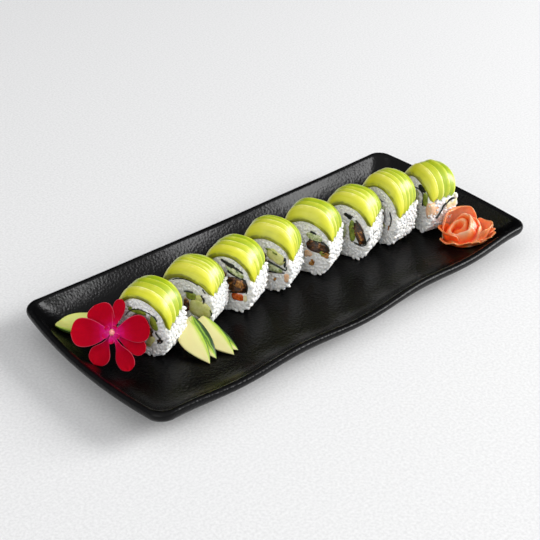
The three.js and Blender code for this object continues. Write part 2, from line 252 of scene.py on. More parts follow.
# The room is bright overhead and behind the camera, and dim behind the plate, where the
# glaze mirrors it.
BRIGHT_SIDE = (-0.42, -0.48, 0.77)
room = bpy.data.worlds.new("white_room")
room.use_nodes = True
look = add_node(room, "TexCoord")
towards_bright = add_node(room, "VectorMath", {1: BRIGHT_SIDE}, {0: (look, "Generated")},
                          operation="DOT_PRODUCT")
wall_tone = add_node(room, "ValToRGB", None, {0: (towards_bright, "Value")},
                     stops=[(0.0, "#2c2c2f"), (0.85, "#ffffff"), (0.3, "#b7b9be")])
room.node_tree.links.new(wall_tone.outputs["Color"], room.node_tree.nodes["Background"].inputs["Color"])
room.node_tree.nodes["Background"].inputs["Strength"].default_value = 0.85
bpy.context.scene.world = room
bpy.context.scene.view_settings.view_transform = "Standard"

# %% [markdown]
# The floor is a sheet of pale quartz composite: matt, nearly white, with a faint mottling
# of fine grey grains that only shows as a soft texture.

# %% Floor
FLOOR_HALF = 3.0
floor_stone, floor_shader = surface("quartz_composite_honed", "#e4e4e4", Roughness=0.75)
floor_grain = grain(floor_stone, 1.6, 2.0)
floor_tone = tones(floor_stone, floor_grain, "Fac", [(0.3, "#dcdcdc"), (0.7, "#eaeaea")])
colour_from(floor_stone, floor_shader, floor_tone)
bump(floor_stone, floor_shader, floor_grain, "Fac", 0.25, 0.3)

bm = bmesh.new()
bmesh.ops.create_grid(bm, x_segments=1, y_segments=1, size=FLOOR_HALF)
floor_mesh = bpy.data.meshes.new("floor")
bm.to_mesh(floor_mesh)
bm.free()
floor_mesh.materials.append(floor_stone)
floor = bpy.data.objects.new("floor", floor_mesh)
bpy.context.scene.collection.objects.link(floor)

# %% [markdown]
# ## The plate
# The plate is black stoneware: a flat well, walls that sweep up to a rounded lip, and a
# low foot. Its outline is a rounded rectangle whose sides bow out, sag and wave a little,
# because it was pressed and fired by hand. A profile is spun once round, as on a wheel,
# and each point of the spun ring is then carried to its place on the rounded rectangle.

# %% Plate section and outline
HALF_LENGTH = 150.0
HALF_WIDTH = 69.0
END_BOW = 5.9
SIDE_BOW = 1.9
RIM_HEIGHT = 22.0
SIDE_SAG = 3.1
END_SAG = 2.2
WAVE_LENGTH = 97.0
WAVE_OUT = 0.9
WAVE_DROP = 0.8
WELL_TOP = 6.0
WALL_INSET = 25.0
CORNER_RADIUS = 8.0
SIDE_STEPS = 96
END_STEPS = 40
CORNER_STEPS = 9
TOP_SECTION = [(52, 6.0), (46, 6.0), (38, 6.0), (30, 6.0), (25, 6.1), (19, 7.3), (13.5, 10.5), (9, 14.8),
               (5.6, 19.2), (4.5, 20.8), (3.6, 21.6), (2.4, 22.0), (1.1, 21.7), (0.3, 20.8), (0, 19.6)]
UNDER_SECTION = [(0.1, 18.4), (0.6, 16.8), (2.5, 14.6), (9, 8.2), (16, 3.2), (18.4, 0.5), (19, 0.0),
                 (24, 0.0), (24.6, 0.4), (26, 1.8), (40, 1.8), (52, 1.8)]


def rounded_through(points, parts):
    """More points on a smooth curve through a few."""
    ends = [points[0], *points, points[-1]]
    curve = []
    for a, b, c, d in zip(ends, ends[1:], ends[2:], ends[3:]):
        for step in range(parts):
            t = step / parts
            curve.append([0.5 * (2 * q + (r - p) * t + (2 * p - 5 * q + 4 * r - s) * t * t
                                 + (3 * q - p - 3 * r + s) * t ** 3) for p, q, r, s in zip(a, b, c, d)])
    return [*curve, list(points[-1])]


def plate_bow(x, y):
    """How far the outline bows out at a place on the plan."""
    ex = min(abs(x) / HALF_LENGTH, 1)
    ey = min(abs(y) / HALF_WIDTH, 1)
    end_share = min(abs(x) / (HALF_LENGTH - WALL_INSET), 1) ** 4
    side_share = min(abs(y) / (HALF_WIDTH - WALL_INSET), 1) ** 4
    ripple = WAVE_OUT * math.cos(2 * math.pi * x / WAVE_LENGTH) * (1 - ex ** 6)
    return END_BOW * (1 - ey * ey) * end_share, (SIDE_BOW * (1 - ex * ex) + ripple) * side_share


def rim_drop(x, y):
    """How far the rim lies below the corners' height."""
    ex = min(abs(x) / HALF_LENGTH, 1)
    ey = min(abs(y) / HALF_WIDTH, 1)
    ripple = WAVE_DROP * math.cos(2 * math.pi * x / WAVE_LENGTH) * (1 - ex ** 6) * ey ** 4
    return SIDE_SAG * (1 - ex * ex) * ey ** 4 + END_SAG * (1 - ey * ey) * ex ** 4 + ripple


def plate_ring(inset):
    """Points round the plate at a distance in from its rim, on the plan."""
    half_x = HALF_LENGTH - inset
    half_y = HALF_WIDTH - inset
    radius = min(CORNER_RADIUS + 0.2 * inset, 0.9 * half_y)
    points = []
    for quarter, (sign_x, sign_y) in enumerate(((1, 1), (-1, 1), (-1, -1), (1, -1))):
        for i in range(CORNER_STEPS + 1):
            turn = (quarter + i / CORNER_STEPS) * math.pi / 2
            points.append((sign_x * (half_x - radius) + radius * math.cos(turn),
                           sign_y * (half_y - radius) + radius * math.sin(turn)))
        steps = SIDE_STEPS if quarter % 2 == 0 else END_STEPS
        from_x, from_y = points[-1]
        to_x, to_y = (-from_x, from_y) if quarter % 2 == 0 else (from_x, -from_y)
        points += [(blend(from_x, to_x, i / steps), blend(from_y, to_y, i / steps))
                   for i in range(1, steps)]
    ring = []
    for x, y in points:
        out_x, out_y = plate_bow(x, y)
        ring.append((x + math.copysign(out_x, x), y + math.copysign(out_y, y)))
    return ring


# %% Spin the plate
section = rounded_through(TOP_SECTION, 3) + rounded_through(UNDER_SECTION, 2)
rings = [plate_ring(inset) for inset, height in section]
around = len(rings[0])

bm = bmesh.new()
profile = [bm.verts.new((1 + row, 0, 0)) for row in range(len(section))]
edges = [bm.edges.new(pair) for pair in zip(profile, profile[1:])]
bmesh.ops.spin(bm, geom=profile + edges, cent=(0, 0, 0), axis=(0, 0, 1), angle=2 * math.pi,
               steps=around, use_merge=True)
bmesh.ops.remove_doubles(bm, verts=bm.verts, dist=0.001)
for vert in bm.verts:
    row = round(math.hypot(vert.co.x, vert.co.y)) - 1
    step = round(math.atan2(vert.co.y, vert.co.x) / (2 * math.pi) * around) % around
    x, y = rings[row][step]
    height = section[row][1]
    share = max((height - WELL_TOP) / (RIM_HEIGHT - WELL_TOP), 0)
    vert.co = Vector((x, y, height - rim_drop(x, y) * share))
bmesh.ops.holes_fill(bm, edges=[e for e in bm.edges if e.is_boundary], sides=0)
print("plate:", len(bm.verts), "corners,", around, "round")

# %% [markdown]
# Stoneware with a satin black glaze over a pebbled mould: the glaze is darkest and
# smoothest where it pools, and each shallow pebble catches a soft point of light, which
# together give the walls a grey, silky sheen. Its pebbles are about 1.5 mm across, over slow
# ripples ten times as wide.

# %% Plate finish
PEBBLE = 1.5
RIPPLE = 16.0
MOTTLE = 12.0
black_glaze, glaze_shader = surface("stoneware_satin_black_glaze", "#08080a", Roughness=0.27, IOR=1.5,
                                     Specular_IOR_Level=0.17)
on_plate = add_node(black_glaze, "TexCoord")
pebbles = add_node(black_glaze, "TexVoronoi", {"Scale": 1 / (PEBBLE * MM)}, {"Vector": (on_plate, "Object")},
                   feature="SMOOTH_F1")
glaze_tone = tones(black_glaze, grain(black_glaze, MOTTLE, 4.0), "Fac", [(0.3, "#020202"), (0.7, "#060607")])
colour_from(black_glaze, glaze_shader, glaze_tone)
relief = total(black_glaze, (grain(black_glaze, RIPPLE, 1.0), "Fac"), (pebbles, "Distance"))
bump(black_glaze, glaze_shader, relief, 0, 0.7, 0.22)
finish_piece(bm, "plate_glazed", black_glaze, replaces=["plate"])

# %% [markdown]
# ## The rolls
# Each roll is a slice of one long inside-out roll, stood on its flat foot and turned so
# that its cut face looks to the front left. Its section is a rounded square. A roll's
# place and size are read from the imported rice and avocado and its turn is listed; what
# the cook laid inside is listed here, roll by roll, because no two slices show the same pattern.

# %% The cook's list
# loop: middle, half sizes and lean of the nori; ends: where the avocado stops at the near
# and far side, front slice first; cuts: how many avocado slices; yaw: turn on the plate.
ROLLS = [
    {"yaw": 22, "loop": (-0.5, 20.3, 11.6, 11.4, 0), "brow": 38, "ends": (-4, 20), "cuts": 4},
    {"yaw": 24, "loop": (-3.6, 16.8, 12.4, 8.9, 0), "brow": 33.5, "ends": (13, 26), "cuts": 6},
    {"yaw": 25, "loop": (-1.2, 24.0, 11.4, 10.9, 8), "brow": 38, "ends": (4, 22), "cuts": 4},
    {"yaw": 26, "loop": (-2.0, 21.8, 11.8, 9.8, 6), "brow": 36.5, "ends": (1, 20), "cuts": 5},
    {"yaw": 24, "loop": (-2.8, 22.8, 12.2, 9.8, 10), "brow": 37.5, "ends": (11, 23), "cuts": 4},
    {"yaw": 20, "loop": (-5.0, 21.2, 8.6, 11.6, 28), "brow": 38, "ends": (11, 29), "cuts": 5},
    {"yaw": 6, "loop": (-1.0, 22.8, 10.8, 10.6, 0), "brow": 40.5, "ends": (-5, 20), "cuts": 5},
    {"yaw": -10, "loop": (-1.0, 21.0, 10.8, 10.6, 0), "brow": 37.5, "ends": (16, 20), "cuts": 4},
]
# kind, across, up, width and height of each strip on the cut face, how many degrees its far
# end is raised, and, where it doesn't run right through, the shares of the roll it runs between
FILLINGS = [
    [("avocado", 3.0, 29.4, 12.5, 3.4, 2), ("avocado", -8.2, 24.4, 4.4, 9.5, -10),
     ("eel", 1.5, 20.5, 12, 13, 0), ("eel", -5.2, 17.0, 3.4, 5.6, 20), ("eel", -11.6, 13.4, 4.6, 2.4, -30),
     ("pale_avocado", -4.8, 10.2, 3.8, 9.5, 30), ("cucumber", 3.5, 11.5, 8, 5, 10)],
    [("pale_avocado", -8.8, 14.0, 14.6, 12, 10), ("avocado", -2.6, 22.2, 6.6, 5, 0),
     ("eel", 0.4, 14.8, 3.4, 9.6, 0), ("pale_avocado", -8.2, 21.6, 3.8, 4.6, 0),
     ("cucumber", 6.6, 17.0, 6, 10, 0)],
    [("nori", -3.6, 32.3, 16, 2.3, 24), ("cucumber", -4.9, 29.2, 12.6, 3.9, 25),
     ("nori", -6.2, 26.2, 13, 1.5, 18), ("eel", -6.0, 19.6, 14.6, 10.4, 0), ("eel", 5.2, 22.0, 9, 12, 0),
     ("batter", -8.2, 20.8, 5.4, 4.6, 0), ("batter", -3.6, 18.6, 2.8, 3.2, 0),
     ("prawn", -6.8, 11.3, 7.8, 5.4, -8), ("cream", -11.6, 11.4, 3.2, 4, 0)],
    [("pale_avocado", -6.6, 25.8, 12.8, 7.8, 32), ("avocado", -3.6, 29.3, 8, 1.9, 18),
     ("nori", -12.6, 23.2, 1.5, 7, 0), ("cucumber", -6.0, 17.2, 10.6, 4.4, 6),
     ("eel", 4.6, 21.0, 9.6, 12, 0), ("prawn_pale", -13.8, 12.0, 3.4, 6, 0),
     ("batter", -6.0, 9.4, 1.8, 2.8, 30)],
    [("nori", -4.4, 30.9, 4.4, 1.9, 25), ("cucumber", -5.6, 28.0, 10.4, 4.8, 12),
     ("nori", -6.8, 25.4, 9.8, 1.0, 0), ("eel", -8.2, 21.2, 15.6, 8.4, 6),
     ("batter", -13.2, 16.8, 5.2, 3.4, 15), ("avocado", -10.8, 17.6, 3.4, 2.4, 0),
     ("prawn_pale", -1.4, 14.4, 5.2, 4.4, 0), ("batter", -4.2, 8.8, 3.4, 4.4, 20)],
    [("nori", -1.6, 31.0, 6, 2.8, 25), ("avocado", -4.6, 20.6, 4, 15.4, -4),
     ("eel", -9.8, 20.2, 6.8, 15.6, -22), ("batter", -9.4, 20.6, 1.9, 9, -22),
     ("cucumber", 2.4, 19.0, 5, 10, 0)],
    [("cucumber", -0.6, 27.2, 9, 5, 10), ("eel", 0.5, 20.4, 12, 8.5, 0),
     ("pale_avocado", -1.6, 14.6, 9, 4, 0), ("batter", -9.8, 14.6, 1.0, 3.4, 0)],
    [("nori", -6.6, 33.2, 8, 4.2, 0), ("avocado", -10.6, 26.6, 5, 9.6, 0),
     ("prawn_pale", -15.3, 20.6, 4.6, 11, 0, -1.0, -0.4), ("cream", -15.6, 22, 3.8, 8, 0, 0.1, 0.9),
     ("cucumber", -1.0, 24.4, 5, 10, 10), ("eel", 4.2, 20.6, 7, 11, 0)],
]
# lines of nori between the fillings, or hanging out of them, as points on the cut face
NORI_LINES = [
    [[(-9.0, 18.4), (-10.6, 16.0), (-13.4, 14.0), (-12.4, 12.2), (-9.8, 11.2)]],
    [[(-9.8, 24.6), (-11.4, 22.0), (-11.0, 19.2)], [(-15.6, 16.0), (-16.4, 13.8), (-15.8, 11.4)],
     [(1.4, 24.6), (-1.4, 25.0), (-4.0, 24.8)]],
    [[(-12.0, 25.0), (-13.4, 20.0), (-12.6, 15.6)]],
    [[(-1.0, 21.4), (-6.0, 19.9), (-13.0, 17.6), (-13.6, 20.4)],
     [(-1.5, 14.0), (-6.5, 14.5), (-12.4, 15.6)]],
    [[(-11.4, 25.8), (-15.6, 22.6), (-16.2, 18.6)]],
    [[(-7.0, 29.4), (-12.0, 22.6), (-15.0, 14.6), (-12.0, 11.8), (-6.6, 12.6)],
     [(-13.2, 13.2), (-15.2, 15.4), (-17.2, 19.2)]],
    [[(-10.2, 26.6), (-11.6, 21.6), (-10.8, 16.2)]],
    [[(-3.0, 32.0), (-8.4, 29.0), (-8.2, 21.0)]],
]
# the end of the sheet that comes out on the near side of the last roll: along and up
NORI_SEAM = [(-6.0, 14.4), (-4.0, 16.4), (-1.9, 19.6), (-0.5, 22.4), (1.9, 24.0), (5.6, 25.8), (8.5, 25.8)]
SEAM_ROLL = 8
# where the loop of nori shows: from and to, in degrees; 0 is the far side, 90 the top
NORI_ARCS = [[(20, 148)], [], [(250, 300)], [], [(200, 230)], [(95, 130), (215, 250)], [(40, 110)],
             [(30, 110)]]
# where a strip of nori is laid right under the avocado as painted shade for the dark gap there, in degrees
# above the near side
NORI_SHADOW_LINES = {2: [(56, 128), (30, 42)]}
SQUARENESS = 3.0
TOP_SQUARENESS = 2.5
BROW_SQUARENESS = 2.05
BROW_RUN = 8.0
TOP_FULLNESS = 1.4
FOOT_FLAT = 0.8
AVOCADO_ROOM = 3.3


def read_roll(number, roll):
    """Adds a roll's place and size, measured on its packed rice and avocado."""
    turn = Matrix.Rotation(math.radians(-roll["yaw"]), 3, "Z")
    corners = []
    for part in ("rice", "avocado"):
        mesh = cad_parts[f"roll_{number}_{part}"].data
        corners += [turn @ vert.co for vert in mesh.vertices]
    low = Vector([min(c[i] for c in corners) for i in range(3)]) / MM
    high = Vector([max(c[i] for c in corners) for i in range(3)]) / MM
    middle = turn.inverted() @ ((low + high) / 2)
    roll["number"] = number
    roll["half"] = (high.x - low.x) / 2
    roll["width"] = high.y - low.y
    roll["height"] = high.z - low.z
    roll["place"] = (Matrix.Translation((middle.x, middle.y, low.z))
                     @ Matrix.Rotation(math.radians(roll["yaw"]), 4, "Z"))
    return roll


for number, roll in enumerate(ROLLS, 1):
    read_roll(number, roll)
    print(f"roll {number}: {2 * roll['half']:.1f} by {roll['width']:.1f} mm, {roll['height']:.1f} mm high")


# %% [markdown]
# A point on a roll's skin is named by a direction round its middle, in degrees from
# level, and by how deep it lies under the outline. Level 0 is the near side, 90 the top.

# %% The roll's outline
def roll_middle(roll):
    """How high the middle of a roll's section lies."""
    return (roll["height"] - FOOT_FLAT) / 2


def on_outline(roll, degrees, inset, x):
    """Across (far side positive) and up, in the roll's section; 0 degrees is the near side.
    The section is squarish below, and above it is rounder and lower towards the cut faces."""
    direction = math.radians(degrees)
    half_width = roll["width"] / 2
    across = -math.cos(direction)
    up = math.sin(direction)
    half_height = (roll["height"] + FOOT_FLAT) / 2
    power = SQUARENESS
    if up > 0:
        edge = (1 - min(max((roll["half"] - abs(x)) / BROW_RUN, 0), 1)) ** 2 * (1 if x < 0 else 0.6)
        top = blend(roll["height"] + TOP_FULLNESS, roll["brow"] + AVOCADO_ROOM, edge)
        half_height = top - roll_middle(roll)
        power = blend(TOP_SQUARENESS, BROW_SQUARENESS, edge)
    reach = (abs(across / half_width) ** power + abs(up / half_height) ** power) ** (-1 / power)
    return across * (reach - inset), max(up * (reach - inset) + roll_middle(roll), 0.0)


def avocado_end(roll, x):
    """Degrees above level where the avocado stops, at a place along the slice."""
    front, back = roll["ends"]
    return blend(front, back, min(max((x + roll["half"]) / (2 * roll["half"]), 0), 1))


def cover(roll, degrees, x):
    """1 where the avocado lies over the rice, 0 where the rice is bare."""
    level = math.degrees(math.asin(math.sin(math.radians(degrees))))
    end = avocado_end(roll, x)
    return step_smooth(end - 8, end + 6, level)


def on_loop(roll, degrees, grow):
    """Across and up on the nori loop, or outside it by some millimetres."""
    across, up, half_across, half_up, lean = roll["loop"]
    turn = math.radians(degrees)
    number = roll["number"]
    ragged = 1 + 0.035 * math.sin(3 * turn + number) + 0.025 * math.sin(5 * turn + 2 * number)
    x = (half_across * ragged + grow) * math.cos(turn)
    y = (half_up * ragged + grow) * math.sin(turn)
    lean = -math.radians(lean)
    return across + x * math.cos(lean) - y * math.sin(lean), up + x * math.sin(lean) + y * math.cos(lean)


# %% [markdown]
# ### Rice
# Sushi rice is short-grained: cooked grains are about 4.6 mm long and 2.2 mm thick, and
# cling together. A roll is a core of packed rice, made as one grid that goes out from the
# middle of a cut face, over the skin and back in, and a few hundred loose grains stuck
# all over it where no avocado or filling hides them. The grains of all rolls are one mesh:
# each is a copy of one small faceted sphere, turned and stretched by arrays.

# %% Rice finish
rice_white, rice_shader = surface("boiled_sushi_rice", "#fbfaf6", Roughness=0.55, Subsurface_Weight=0.45,
                                  Subsurface_Scale=0.002)
rice_shader.inputs["Subsurface Radius"].default_value = (1.0, 0.9, 0.8)
starch = grain(rice_white, 3.0, 3.0)
colour_from(rice_white, rice_shader, tones(rice_white, starch, "Fac", [(0.3, "#f3f1ea"), (0.65, "#fffefb")]))
bump(rice_white, rice_shader, starch, "Fac", 0.2, 0.25)

# %% Rice cores
CORE_DEPTH = 1.0
FACE_DEPTH = 0.75
CORE_ROUND = 72
CORE_LONG = 12
CORE_FACE = 10
FILLING_SUNK = 0.5


def rice_core(roll):
    """A block: the grid runs out from the middle of one face, over the skin and back in."""
    half = roll["half"] - FACE_DEPTH
    stations = ([("face", i / CORE_FACE, -half) for i in range(CORE_FACE)]
                + [("skin", 1, blend(-half, half, i / CORE_LONG)) for i in range(CORE_LONG + 1)]
                + [("face", 1 - i / CORE_FACE, half) for i in range(1, CORE_FACE + 1)])
    centre = Vector(roll["loop"][:2])
    middle = roll_middle(roll)

    def place(u, v):
        kind, share, x = stations[round(u * (len(stations) - 1))]
        degrees = 360 * v
        depth = CORE_DEPTH + cover(roll, degrees, x) * (AVOCADO_ROOM - CORE_DEPTH)
        outer = Vector(on_outline(roll, degrees, depth, x))
        flat = centre.lerp(outer, share)
        inside = (flat - centre).length / (Vector(on_loop(roll, 180 - degrees, 0)) - centre).length
        bulge = 0.4 * lumpy((x, flat.x, flat.y), 3.2, roll["number"])
        edge = step_smooth(half - 1.6, half, abs(x)) if kind == "skin" else 0
        pull = 1 + (bulge - 0.5 * edge) / 20
        sunk = FILLING_SUNK * (1 - step_smooth(0.7, 1.0, inside)) if kind == "face" else 0
        out = bulge - sunk if kind == "face" else 0
        up = max(middle + (flat.y - middle) * pull, 0.0)
        return Vector((x + out * math.copysign(1, x), flat.x * pull, up))

    return warped_grid(len(stations) - 1, CORE_ROUND, place)


for roll in ROLLS:
    number = roll["number"]
    finish_piece(rice_core(roll), f"rice_core_{number}", rice_white, roll["place"],
                 [f"roll_{number}_rice"])
print("rice cores:", len(ROLLS))

# %% Where grains stick
GRAIN_LONG = 4.6
GRAIN_THICK = 2.2
GRAIN_SUNK = 1.45
FACE_SUNK = 1.15
FACE_SHARE = 0.55
GRAIN_APART = 2.05
TRIES = 6000
NEAR_FACE_SHARE = 0.75
FILLING_CLEAR = 0.9
NORI_CLEAR = 1.6
SEAM_CLEAR = 1.8


class Crowd:
    """Keeps points that are some distance apart."""

    def __init__(self, apart):
        self.apart = apart
        self.cells = {}

    def takes(self, point):
        cell = tuple(int(math.floor(c / self.apart)) for c in point)
        near = [self.cells.get((cell[0] + i, cell[1] + j, cell[2] + k))
                for i in (-1, 0, 1) for j in (-1, 0, 1) for k in (-1, 0, 1)]
        if any(other is not None and (other - point).length < self.apart for other in near):
            return False
        self.cells[cell] = point
        return True


def filled(roll, across, up):
    """Whether a place on the cut face is taken by a strip of filling or a line of nori."""
    for _, at, rise, width, height, turn, *_ in FILLINGS[roll["number"] - 1]:
        offset = Matrix.Rotation(-math.radians(turn), 2) @ Vector((across - at, up - rise))
        if abs(offset.x) < width / 2 + FILLING_CLEAR and abs(offset.y) < height / 2 + FILLING_CLEAR:
            return True
    lines = [Vector(point) for line in NORI_LINES[roll["number"] - 1] for point in rounded_through(line, 3)]
    return any((point - Vector((across, up))).length < NORI_CLEAR for point in lines)


def grain_seats(roll):
    """Points and outward directions, in the roll's own frame, for the grains of one roll."""
    seats = []
    crowd = Crowd(GRAIN_APART)
    half = roll["half"]
    middle = roll_middle(roll)
    centre = Vector(roll["loop"][:2])
    for draw in rng.random((TRIES, 4)):
        degrees = 360 * draw[0]
        if draw[2] > FACE_SHARE:
            x = blend(-half + 0.9, half - 0.9, draw[1])
            across, up = on_outline(roll, degrees, GRAIN_SUNK, x)
            on_seam = roll["number"] == SEAM_ROLL and across < 0 and any(
                math.dist((x, up), point) < SEAM_CLEAR for point in rounded_through(NORI_SEAM, 2))
            if cover(roll, degrees, x) > 0.45 or on_seam:
                continue
            out = Vector((0, across, up - middle)).normalized()
        else:
            side = 1 if draw[3] > NEAR_FACE_SHARE else -1
            x = side * (half - FACE_SUNK)
            depth = 1.3 + cover(roll, degrees, x) * AVOCADO_ROOM
            across, up = centre.lerp(Vector(on_outline(roll, degrees, depth, x)), math.sqrt(draw[1]))
            if filled(roll, across, up):
                continue
            out = Vector((side, 0, 0))
        point = Vector((x, across, up))
        if up > 1.2 and crowd.takes(point):
            seats.append((point, out))
    return seats


# %% Grow the grains
def one_grain():
    """Corners and faces of a grain that lies along X, one unit long and thick."""
    bm = bmesh.new()
    bmesh.ops.create_uvsphere(bm, u_segments=6, v_segments=5, radius=0.5)
    bmesh.ops.rotate(bm, verts=bm.verts, cent=(0, 0, 0), matrix=Matrix.Rotation(math.pi / 2, 3, "Y"))
    for vert in bm.verts:
        blunt = 1 + 0.25 * (1 - (2 * vert.co.x) ** 2)
        vert.co.y *= blunt
        vert.co.z *= blunt
    bm.verts.index_update()
    corners = np.array([vert.co for vert in bm.verts])
    faces = [[vert.index for vert in face.verts] for face in bm.faces]
    bm.free()
    return corners, faces


grain_corners, grain_faces = one_grain()
all_corners = []
all_faces = []
for roll in ROLLS:
    for point, out in grain_seats(roll):
        spin, tilt, long_share, thick_share = rng.random(4)
        basis = out.to_track_quat("Z", "X").to_matrix().to_4x4()
        lay = Matrix.Rotation(2 * math.pi * spin, 4, "Z") @ Matrix.Rotation(0.45 * (tilt - 0.5), 4, "Y")
        size = Matrix.Diagonal((GRAIN_LONG * blend(0.85, 1.12, long_share),
                                GRAIN_THICK * blend(0.85, 1.1, thick_share), GRAIN_THICK * 0.85, 1))
        move = np.array(TO_METRES @ roll["place"] @ Matrix.Translation(point) @ basis @ lay @ size)
        first = len(all_corners) * len(grain_corners)
        all_corners.append(grain_corners @ move[:3, :3].T + move[:3, 3])
        all_faces += [[first + corner for corner in face] for face in grain_faces]

grains_mesh = bpy.data.meshes.new("rice_grains")
grains_mesh.from_pydata(np.concatenate(all_corners).tolist(), [], all_faces)
grains_mesh.materials.append(rice_white)
grains_mesh.shade_smooth()
rice_grains = bpy.data.objects.new("rice_grains", grains_mesh)
bpy.context.scene.collection.objects.link(rice_grains)
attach(rice_grains, "root")
print("rice grains:", len(all_corners), "triangles:", sum(len(f) - 2 for f in all_faces))

# %% [markdown]
# ### Nori
# Nori is pressed, roasted seaweed: nearly black green, satin, with a paper-like roughness.
# Inside the roll it has softened and clings to the filling, so that the rice hides most of
# it: what the knife bares is a few arcs of the loop and torn ends between the fillings.

# %% Nori finish
nori_black, nori_shader = surface("roasted_nori_sheet", "#10150d", Roughness=0.42)
paper = grain(nori_black, 1.2, 4.0)
colour_from(nori_black, nori_shader, tones(nori_black, paper, "Fac", [(0.35, "#0a0d08"), (0.7, "#1f2718")]))
bump(nori_black, nori_shader, paper, "Fac", 0.6, 0.2)

# %% Nori loops and lines
NORI_THICK = 0.5
ARC_STEPS = 24


def nori_sheet(roll, points):
    """A sheet that runs along the slice and follows a route on its face."""
    half = roll["half"]
    last = len(points) - 1

    def place(u, v):
        across, up = points[round(v * last)]
        x = blend(-half, half, u)
        rag = 0.35 * lumpy((x, across, up), 2.0, roll["number"] + 3)
        return Vector((x * (1 + 0.03 * rag), across + 0.3 * rag, up + 0.3 * rag))

    return warped_grid(5, last, place)


def nori_seam(roll, points):
    """The edge of the sheet where it comes out through the near side of the rice."""
    def place(u, v):
        x, up = points[round(v * (len(points) - 1))]
        out = -roll["width"] / 2 + blend(2.5, -0.1, u) - 0.3 * lumpy((x, up, 0), 2.0, 5)
        return Vector((x, out, up))

    return warped_grid(2, len(points) - 1, place)


for roll in ROLLS:
    number = roll["number"]
    arcs = [[on_loop(roll, blend(first, last, i / ARC_STEPS), -0.1) for i in range(ARC_STEPS + 1)]
            for first, last in NORI_ARCS[number - 1]]
    # a dark nori strip under the avocado's front edge, standing in as painted shade for the gap there
    arcs += [[on_outline(roll, blend(first, last, i / ARC_STEPS), AVOCADO_ROOM + 0.1, -roll["half"])
              for i in range(ARC_STEPS + 1)] for first, last in NORI_SHADOW_LINES.get(number, [])]
    lines = [rounded_through(line, 5) for line in NORI_LINES[number - 1]]
    sheets = [nori_sheet(roll, line) for line in arcs + lines]
    if number == SEAM_ROLL:
        sheets.append(nori_seam(roll, rounded_through(NORI_SEAM, 4)))
    finish_piece(joined(sheets), f"nori_{number}", nori_black, roll["place"],
                 [f"roll_{number}_nori"], thick=NORI_THICK)
print("nori sheets:", sum(len(lines) for lines in NORI_LINES + NORI_ARCS))

# %% [markdown]
# ### Fillings
# A cook lays strips of cucumber, glazed eel, avocado, prawn and crisp batter on the rice,
# and the knife cuts them all flush. Each strip is a cube that is stretched along the roll,
# subdivided, rounded by smoothing and then pushed in and out by noise, so that its cut
# ends are as uneven as torn food. Folded nori is packed between them in the same way.

# %% Filling finishes
def food(name, stops, grain_mm, roughness, wet, relief):
    """A moist food: a colour ramp over noise of a real size, with a thin wet coat."""
    material, shader = surface(name, stops[0][1], Roughness=roughness, Coat_Weight=wet, Coat_Roughness=0.12,
                               Subsurface_Weight=0.12, Subsurface_Scale=0.0012)
    fibres = grain(material, grain_mm, 4.0, Roughness=0.6)
    colour_from(material, shader, tones(material, fibres, "Fac", stops))
    bump(material, shader, fibres, "Fac", 0.5, relief)
    return material


FOODS = {
    "cucumber": food("raw_cucumber_flesh", [(0.35, "#8a9d4e"), (0.6, "#d9dfb6")], 1.8, 0.3, 0.3, 0.4),
    # the eel's dark brown glaze is its own colour; the golden flecks at the top of its ramp are painted
    # highlights
    "eel": food("grilled_eel_glazed", [(0.38, "#140a05"), (0.5, "#44270f"), (0.58, "#6e3f18"),
                                       (0.68, "#c08a48")], 2.2, 0.3, 0.55, 0.9),
    "avocado": food("ripe_avocado_by_the_skin", [(0.35, "#5a7010"), (0.6, "#98a73a")], 3.0, 0.4, 0.2, 0.3),
    "pale_avocado": food("ripe_avocado_flesh", [(0.3, "#c6ca5e"), (0.65, "#ebe9a2")], 4.0, 0.4, 0.2, 0.3),
    "prawn": food("prawn_roe_sauce", [(0.3, "#a93208"), (0.6, "#e06a1c")], 2.0, 0.25, 0.6, 0.5),
    "prawn_pale": food("boiled_prawn", [(0.3, "#e0a878"), (0.65, "#f4d3b0")], 2.4, 0.35, 0.3, 0.4),
    "batter": food("fried_batter_crisp", [(0.3, "#5f330d"), (0.5, "#a8702a"), (0.7, "#d9a860")],
                   1.6, 0.45, 0.2, 0.9),
    "cream": food("soft_cream_cheese", [(0.3, "#e2d59a"), (0.65, "#f2ebc4")], 3.0, 0.45, 0.2, 0.3),
    "nori": nori_black,
}
STRIP_CUTS = 5


def strip(roll, seed, across, up, width, height, turn, start=-1.0, end=1.0):
    """One strip of filling, from face to face of the roll or between two shares of it."""
    bm = bmesh.new()
    bmesh.ops.create_cube(bm, size=1)
    bmesh.ops.subdivide_edges(bm, edges=bm.edges, cuts=STRIP_CUTS, use_grid_fill=True)
    length = (end - start) * (roll["half"] - 0.35) + 0.5 * lumpy((seed, up, across), 1.3, seed)
    middle = 0.5 * (start + end) * roll["half"]
    rough = min(0.3 * min(width, height), 0.75)
    lean = Matrix.Rotation(math.radians(turn), 3, "X")
    for vert in bm.verts:
        y, z = 2 * vert.co.y, 2 * vert.co.z
        cube = max(abs(y), abs(z))
        round_off = cube / (abs(y) ** 3 + abs(z) ** 3) ** (1 / 3) if cube else 1
        point = Vector((vert.co.x * length, vert.co.y * width * round_off, vert.co.z * height * round_off))
        point = lean @ point + Vector((middle, across, up))
        vert.co = point + Vector((0.5 * lumpy(point, 1.8, seed), rough * lumpy(point, 2.3, seed + 5),
                                  rough * lumpy(point, 2.3, seed + 9)))
    return bm


for roll in ROLLS:
    number = roll["number"]
    kinds = {}
    for order, (kind, *shape) in enumerate(FILLINGS[number - 1]):
        kinds.setdefault(kind, []).append(strip(roll, 10 * number + order, *shape))
    for kind, strips in kinds.items():
        stands_for = {"cucumber": [f"roll_{number}_cucumber"], "eel": [f"roll_{number}_eel"]}.get(kind, [])
        finish_piece(joined(strips), f"filling_{number}_{kind}", FOODS[kind],
                     roll["place"], stands_for)
print("filling strips:", sum(len(f) for f in FILLINGS))
